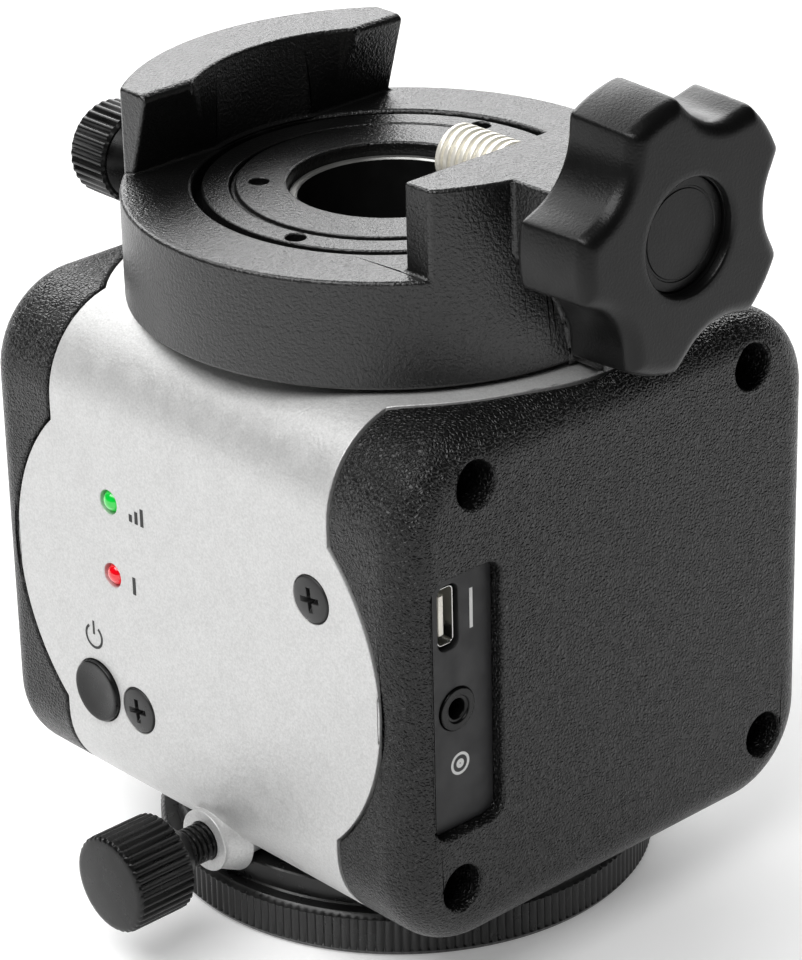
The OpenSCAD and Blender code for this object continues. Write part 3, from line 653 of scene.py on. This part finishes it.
def saddle():
    """The turning disc with its fixed jaw, screw jaw and boss."""
    low, top, jaw = saddle_low.z, DISC_TOP, JAW_TOP
    lean = (jaw - top) * math.tan(math.radians(JAW_SLOPE))
    made = rod(DISC_R, low, top, sides=256)
    fixed = prism([(-50, top - 1), (-FIXED_JAW_X, top - 1), (-FIXED_JAW_X, top), (-FIXED_JAW_X + lean, jaw),
                   (-50, jaw)], "Y", -FIXED_JAW_Y, FIXED_JAW_Y)
    keep(fixed, rod(DISC_R, top - 5, jaw + 5, sides=256))
    chamfer = [(-FIXED_JAW_X + lean - 0.92, jaw + 0.1), (-FIXED_JAW_X + lean + 0.5, jaw + 0.1),
               (-FIXED_JAW_X + lean + 0.5, jaw - 1.32)]
    cut(fixed, prism(chamfer, "Y", -50, 50))
    screw = block((SCREW_JAW_X, 50), (-SCREW_JAW_Y, SCREW_JAW_Y), (top - 1, jaw))
    keep(screw, rod(DISC_R, top - 5, jaw + 5, sides=256))
    steps = [low + 0.2 + (top + 2 - low) * k / 12 for k in range(13)]
    outline = [(rib_half(z), z) for z in steps] + [(10, jaw), (-10, jaw)]
    outline += [(-rib_half(z), z) for z in reversed(steps)]
    boss = prism(outline, "X", SCREW_JAW_X, saddle_high.x)
    relief = keep(rod(RELIEF_R, top, jaw + 1, sides=192), block((-60, 0), (-60, 60), (0, 200)))
    cut(fixed, relief)
    add(made, fixed, screw, boss)
    cut(made, rod(24.06, 0, 86.9, sides=128), rod(20, 0, top - 0.5, sides=128),
        rod(RECESS_R, 88.5, top + 0.5, sides=192), rod(CLAMP_HOLE_R, 15, 60, "X", (0, CLAMP_Z), 64),
        rod(THUMB_HOLE_R, -60, -20, "X", (0, AXIS_LOCK_Z), 48))
    soften(made, 0.42, [("X", 0), ("Y", 0)])
    return piece(made, "saddle_casting", "saddle_body", SADDLE, "saddle_black", "saddle")


def pin_holes(radius, angles, start):
    """Blind holes for a pin wrench, as cutting tools."""
    turns = [math.radians(a) for a in angles]
    return [rod(PIN_HOLE_R, start, 120, at=(radius * math.cos(a), radius * math.sin(a)), sides=32)
            for a in turns]


def turned(profile, sides=192):
    """A closed ring about Z, from (height, radius) points."""
    rings = [[on_axis("Z", z, r, TAU * k / sides) for k in range(sides)] for z, r in profile]
    return loft("tool", rings, closed=True)


def lock_ring():
    """The ring round the hub, with two pin holes."""
    low, high = box_mm("lock_ring")
    ring = turned([(low.z, 19.85), (high.z, 19.85), (high.z, 23.2), (low.z, 23.2)])
    cut(ring, *pin_holes(21.5, (-74.5, 105.5), low.z + 0.5))
    soften(ring, 0.22, [("X", -5.75), ("X", 5.75), ("Y", 0)])
    piece(ring, "hub_lock_ring", "polar", SADDLE, "saddle_black", "lock_ring")


def polar_hub():
    """The hub that stands in the saddle, with its hollow shaft and two pin holes."""
    low, top = hub_low.z, hub_high.z
    profile = [(low, HUB_BORE_R), (low, 15), (78, 15), (78, 24), (86.8, 24), (86.8, 19.7),
               (top - 0.6, 19.7), (top - 0.6, 19.1), (top, 19.1), (top, HUB_BORE_R + 0.2),
               (top - 0.2, HUB_BORE_R)]
    hub = cut(turned(profile), *pin_holes(16.2, (-133, 47), 89))
    soften(hub, 0.16, [("X", -11.05), ("X", 11.05), ("Y", 0)])
    piece(hub, "polar_hub", "polar", SADDLE, "saddle_black", "drive_hub")


def bore_liner():
    """The tube in the bore: bare metal at its mouth, black inside."""
    low, high = box_mm("bore_liner")
    profile = [(low.z, BORE_R), (low.z, 12.72), (high.z - 0.2, 12.72), (high.z, 12.5),
               (high.z, BORE_R + 0.2), (high.z - 0.2, BORE_R)]
    liner = lathe("tool", profile, sides=160, closed=True)
    piece(liner, "bore_liner_tube", "polar", LINER, "liner_steel", "bore_liner")
    liner.data.materials.append(BORE)
    for face in liner.data.polygons:
        face.material_index = int(face.center.z < (high.z - 0.25) * MM)


# ---------- clamp knob and screws ----------

def lobed_radius(angle, tip, hollow_r):
    """The knob's outline: five lobes between round scallops, with soft corners."""
    pitch = TAU / KNOB_LOBES
    off = (angle + pitch / 2) % pitch - pitch / 2
    across = SCALLOP_AT * math.sin(off)
    inside = hollow_r ** 2 - across ** 2
    hollow = SCALLOP_AT * math.cos(off) - math.sqrt(inside) if inside > 0 else SCALLOP_AT
    blend = 1.9
    share = max(0.0, blend - abs(hollow - tip)) / blend
    return min(hollow, tip) - share * share * blend / 4


def lobed_ring(along, tip, inset, count=400):
    """One ring of the knob, drawn in by inset all round."""
    angles = [TAU * k / count for k in range(count)]
    return [on_axis("X", along, lobed_radius(a, tip - inset, SCALLOP_R + inset), a, (0, CLAMP_Z))
            for a in angles]


def round_ring(along, radius, count=400):
    return [on_axis("X", along, radius, TAU * k / count, (0, CLAMP_Z)) for k in range(count)]


def clamp_knob():
    """The five-lobed knob with a sunken face."""
    back, face = knob_low.x, knob_high.x
    front_r, back_r = 2.0, 1.1
    rings = [round_ring(back + 7.1, 0.3), round_ring(back + 7.1, 4.03), round_ring(back, 4.03),
             round_ring(back, 7.5)]
    rings.append(lobed_ring(back, KNOB_TIP_BACK, back_r + 0.4))
    rings += [lobed_ring(back + back_r * (1 - math.cos(a)), KNOB_TIP_BACK, back_r * (1 - math.sin(a)))
              for a in np.linspace(0, math.pi / 2, 7)]
    rings.append(lobed_ring((back + face) / 2, KNOB_TIP_MIDDLE, 0))
    for a in np.linspace(0, math.pi / 2, 10):
        rings.append(lobed_ring(face - front_r + front_r * math.sin(a), KNOB_TIP_FACE,
                                front_r * (1 - math.cos(a))))
    rings.append(lobed_ring(face, KNOB_TIP_FACE, front_r + 0.4))
    rings += [round_ring(face, 8.2), round_ring(face, 7.45), round_ring(face - 0.1, 7.18),
              round_ring(face - 0.35, 7.05), round_ring(face - 1.0, KNOB_RECESS_R),
              round_ring(face - 1.05, 7.12), round_ring(face - 1.2, 7.12),
              round_ring(face - 1.25, KNOB_RECESS_R),
              round_ring(face - 2.4, KNOB_RECESS_R), round_ring(face - 2.4, 0.3)]
    made = smooth(loft("tool", rings), 50)
    piece(made, "clamp_knob_lobes", "clamp_turn", KNOB, "knob_black", "clamp_knob")


def knob_cap():
    """The cap in the knob's recess, with a fine groove near its rim."""
    low, high = box_mm("knob_cap")
    profile = [(low.x, 0), (low.x, 6.95), (high.x - 0.15, 6.95), (high.x, 6.8), (high.x, 5.75),
               (high.x - 0.12, 5.65), (high.x - 0.12, 5.45), (high.x, 5.35), (high.x + 0.03, 2.5),
               (high.x + 0.04, 0)]
    cap = lathe("tool", profile, "X", (0, CLAMP_Z), 128)
    piece(cap, "clamp_knob_cap", "clamp_turn", KNOB, "knob_black", "knob_cap")


def clamp_screw():
    """The clamp screw with its thread, hollow at the tip for its pad."""
    low, high = box_mm("clamp_screw")
    made = threaded_rod("tool", CLAMP_R, CLAMP_PITCH, 0.7, low.x, SCREW_JAW_X + 4, "X", (0, CLAMP_Z), 48)
    add(made, rod(CLAMP_R - 0.1, SCREW_JAW_X + 3, high.x, "X", (0, CLAMP_Z), 48))
    cut(made, rod(1.46, 0, low.x + 3.2, "X", (0, CLAMP_Z), 32))
    smooth(made, 60)
    piece(made, "clamp_screw_thread", "clamp_turn", PALE, "pale_steel", "clamp_screw")


def thumb_head(axis, at, sign, neck, back, face, ribs, dome):
    """Ribbed head with a cone neck. sign is the way that it points along its axis."""
    radius = 6.4
    run = [(neck - 0.4, 2.45), (neck, 2.5), (neck + 0.4, 2.9), (back - 0.5, 5.2), (back, 5.6),
           (back, 5.95, 0), (back + 0.35, radius - 0.02, 0.35), (back + 0.6, radius, 1),
           (face - 0.75, radius, 1), (face - 0.45, radius - 0.05, 0.5), (face - 0.2, radius - 0.3, 0.05),
           (face - 0.05, radius - 0.65, 0), (face, radius - 1.1, 0)]
    run += [(face + dome * (1 - (r / 5.3) ** 2), r, 0) for r in (4.2, 3, 1.8, 0.6, 0)]
    run = [(neck - 0.4, 0)] + run
    profile = [(sign * p[0], *p[1:]) for p in run]
    return lathe("tool", profile, axis, at, ribs=ribs, depth=0.42)


def thumb_screws():
    """Both thumb screws: a ribbed head on an M5 thread, hollow at the tip for its pad."""
    for name, cad_node, body, axis, at, tip, neck, back, face, ribs, dome in (
            ("axis_lock_thumb_screw", "axis_lock_screw", "axis_lock_turn", "X", (0, AXIS_LOCK_Z),
             -axis_high.x, 45.6, 49.1, -axis_low.x, 32, -0.05),
            ("base_lock_thumb_screw", "base_lock_screw", "base_lock_turn", "Y", (0, BASE_LOCK_Z),
             -base_high.y, 38, 41.1, -base_low.y - 0.25, 36, 0.25)):
        thread = threaded_rod("tool", THUMB_R, THUMB_PITCH, 0.42, -tip, -neck - 0.2, axis, at, 40)
        made = thumb_head(axis, at, -1, neck, back, face, ribs, dome)
        add(made, thread)
        cut(made, rod(1.26, *sorted((-tip + 1, -tip - 2.5)), axis, at, 32))
        tidy_mesh(made)
        smooth(made, 35)
        piece(made, name, body, RIBBED, "knob_black", cad_node)


def tripod_adapter():
    """The foot: a finely ribbed flange, a neck and the spigot with its groove."""
    top, flange, radius = foot_high.z, 6.0, 32.3
    groove_low, groove_high, groove_r = BASE_LOCK_Z - 2.4, BASE_LOCK_Z + 2.4, 21.2
    profile = [(NECK_Z, 0), (NECK_Z, 4), (0.6, 4), (0, 4.6), (0, 31.4), (0.1, 31.75), (0.45, 32.05, 0),
               (0.8, radius, 0.3), (1.0, radius, 1), (flange - 1.0, radius, 1), (flange - 0.75, radius, 0.35),
               (flange - 0.35, 32.05, 0), (flange - 0.05, 31.7), (flange, 31.3), (flange, 30.25),
               (flange + 0.2, 30.0), (NECK_Z - 0.2, 30), (NECK_Z, 29.8), (NECK_Z, 21.9), (groove_low, 21.9),
               (groove_low, groove_r), (groove_high, groove_r), (groove_high, 21.9), (top - 0.4, 21.9),
               (top, 21.5), (top, 0)]
    made = lathe("tool", profile, ribs=180, depth=0.32)
    smooth(made, 30)
    piece(made, "tripod_foot", "adapter", FOOT, "knob_black", "tripod_adapter")


# ---------- plain printed marks, in place of the lettering ----------

def mark(name, outlines, plane, material, slot):
    """Thin raised ink. plane is (axis, where it starts, where it ends)."""
    made = None
    for outline in outlines:
        part = prism(outline, *plane)
        made = add(made, part) if made else part
    return piece(made, name, "housing", material, slot)


def ring_arc(centre, radius, width, start, end, steps=28):
    """A bent bar about a centre, angles in degrees."""
    angles = [math.radians(start + (end - start) * k / steps) for k in range(steps + 1)]
    outer = [(centre[0] + (radius + width / 2) * math.cos(a), centre[1] + (radius + width / 2) * math.sin(a))
             for a in angles]
    inner = [(centre[0] + (radius - width / 2) * math.cos(a), centre[1] + (radius - width / 2) * math.sin(a))
             for a in reversed(angles)]
    return outer + inner


def bar(x0, x1, z0, z1):
    return [(x0, z0), (x1, z0), (x1, z1), (x0, z1)]


def marks():
    """A power symbol over the button, plain bars by the lamps and the sockets."""
    front = ("Y", -HALF_D - INK_PROUD, -HALF_D + INK_SUNK)
    x, z = BUTTON[0] - 0.3, BUTTON[1] + 7.6
    mark("mark_power", [ring_arc((x, z), 1.55, 0.36, 125, 415), bar(x - 0.18, x + 0.18, z + 0.3, z + 2.2)],
         front, INK, "screw_black")
    for name, lamp_node, bars in (("mark_link", "green_led", (1.0, 1.7, 2.4)),
                                  ("mark_supply", "red_led", (2.4,))):
        z = LAMP_Z[lamp_node]
        shapes = [bar(LAMP_X + 4 + 1.1 * k, LAMP_X + 4.6 + 1.1 * k, z - 1.2, z - 1.2 + tall)
                  for k, tall in enumerate(bars)]
        mark(name, shapes, front, INK, "screw_black")
    side = ("X", panel_high.x - INK_SUNK, panel_high.x + INK_PROUD)
    y, z = USB
    mark("mark_data_port", [bar(y + 3.4, y + 3.9, z - 2.6, z + 2.6)], side, WHITE_INK, "nylon")
    y, z = JACK[0] + 0.4, JACK[1] - 7.5
    mark("mark_shutter_port", [ring_arc((y, z), 1.3, 0.36, 0, 359.9), ring_arc((y, z), 0.35, 0.5, 0, 359.9)],
         side, WHITE_INK, "nylon")


# ---------- materials of the CAD parts that stay as they are ----------

def paint_cad():
    """A finish for every CAD part that is shown itself."""
    finishes = {
        BOARD: ("port_board", "control_board"),
        BRASS: ("board_standoffs", "worm_wheel", "worm_gear", "motor_pinion"),
        STEEL: ("battery_contacts", "bearing_outer_rings", "bearing_inner_rings", "bearing_balls",
                "bracket_screws", "worm", "worm_shaft", "motor_shaft"),
        BLACK_STEEL: ("cover_screws",),
        ALLOY: ("drive_bracket", "gear_motor"),
        RIBBED: ("tact_switch", "battery_holder"),
        WRAP: ("battery_cells",),
        PALE: ("clamp_pad",),
        NYLON: ("axis_lock_pad", "base_lock_pad"),
    }
    for material, nodes in finishes.items():
        for name in nodes:
            paint(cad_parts[name], material)
            smooth(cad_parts[name], 30)


# ---------- camera and light ----------

CAMERA_TURN, CAMERA_RISE, CAMERA_ROLL = 47.75, 25.52, -1.4
CAMERA_AWAY = 0.4971
CAMERA_LENS, CAMERA_SHIFT = 147.13, (0.0022, 0.0057)
LOOK_AT = (0, 0, 0.04983)
FLOOR_REACH, FLOOR_THICK = 6000, 20
SURROUND_GLOW = 0.035
FLOOR_GLOW = 0.24
SOFT_BOXES = [
    ("back_card", 182, 26, 1.0, 1.1, 0.5, 4.8),
    ("left_back_card", -142, 44, 1.0, 0.9, 0.6, 2.2),
    ("key_box", -45, 57, 0.9, 0.95, 0.5, 5.6),
]


def camera():
    """The photograph's viewpoint, with a long lens."""
    azimuth, elevation, roll = (math.radians(v) for v in (CAMERA_TURN, CAMERA_RISE, CAMERA_ROLL))
    back = Vector((math.sin(azimuth) * math.cos(elevation), -math.cos(azimuth) * math.cos(elevation),
                   math.sin(elevation)))
    level = Vector((math.cos(azimuth), math.sin(azimuth), 0))
    right = level * math.cos(roll) + back.cross(level) * math.sin(roll)
    up = back.cross(right)
    data = bpy.data.cameras.new("camera")
    data.lens = CAMERA_LENS
    data.shift_x, data.shift_y = CAMERA_SHIFT
    data.clip_start = 0.01
    data.clip_end = 20
    made = bpy.data.objects.new("camera", data)
    place = Vector(LOOK_AT) + back * CAMERA_AWAY
    made.matrix_world = Matrix.Translation(place) @ Matrix((right, up, back)).transposed().to_4x4()
    bpy.context.scene.collection.objects.link(made)
    bpy.context.scene.camera = made


def soft_box(name, turn, rise, away, wide, tall, glow):
    """A soft box aimed at the mount. turn is degrees to the right of the camera, rise degrees up,
    away its distance in metres, wide and tall its size in metres, glow how bright its face is."""
    around, up = math.radians(CAMERA_TURN + turn), math.radians(rise)
    place = Vector((math.sin(around) * math.cos(up), -math.cos(around) * math.cos(up), math.sin(up))) * away
    place += Vector(LOOK_AT)
    data = bpy.data.lights.new(name, "AREA")
    data.shape = "RECTANGLE"
    data.size, data.size_y = wide, tall
    data.energy = glow * math.pi * wide * tall
    made = bpy.data.objects.new(name, data)
    made.location = place
    made.rotation_euler = (Vector(LOOK_AT) - place).to_track_quat("-Z", "Y").to_euler()
    bpy.context.scene.collection.objects.link(made)


def studio():
    """A plain pale floor, a dim even surround and soft boxes: the flat tops mirror the card behind, the
    left back card lights the left cover, and the key box lights the silver."""
    far = FLOOR_REACH
    floor = block((-far, far), (-far, far), (-FLOOR_THICK, 0))
    floor.name = "floor"
    paint(floor, surface("floor_paint", (0.86, 0.86, 0.86), 0.7, specular=0.2, mottle=(80, 0.01),
                         rough_change=0.03, glow=((1, 1, 1), FLOOR_GLOW)))
    world = bpy.data.worlds.new("surround")
    world.use_nodes = True
    world.node_tree.nodes["Background"].inputs["Color"].default_value = (1, 1, 1, 1)
    world.node_tree.nodes["Background"].inputs["Strength"].default_value = SURROUND_GLOW
    bpy.context.scene.world = world
    for row in SOFT_BOXES:
        soft_box(*row)


paint_cad()
main_housing()
cover(1, "port_cover_shell", "port_cover")
cover(-1, "battery_cover_shell", "battery_cover")
lamp("green_led", GREEN_LAMP, "lamp_green")
lamp("red_led", RED_LAMP, "lamp_red")
power_button()
front_screws()
port_panel()
port_sockets()
saddle()
lock_ring()
polar_hub()
bore_liner()
clamp_knob()
knob_cap()
clamp_screw()
thumb_screws()
tripod_adapter()
marks()
camera()
studio()
bpy.context.scene.view_settings.view_transform = "Standard"
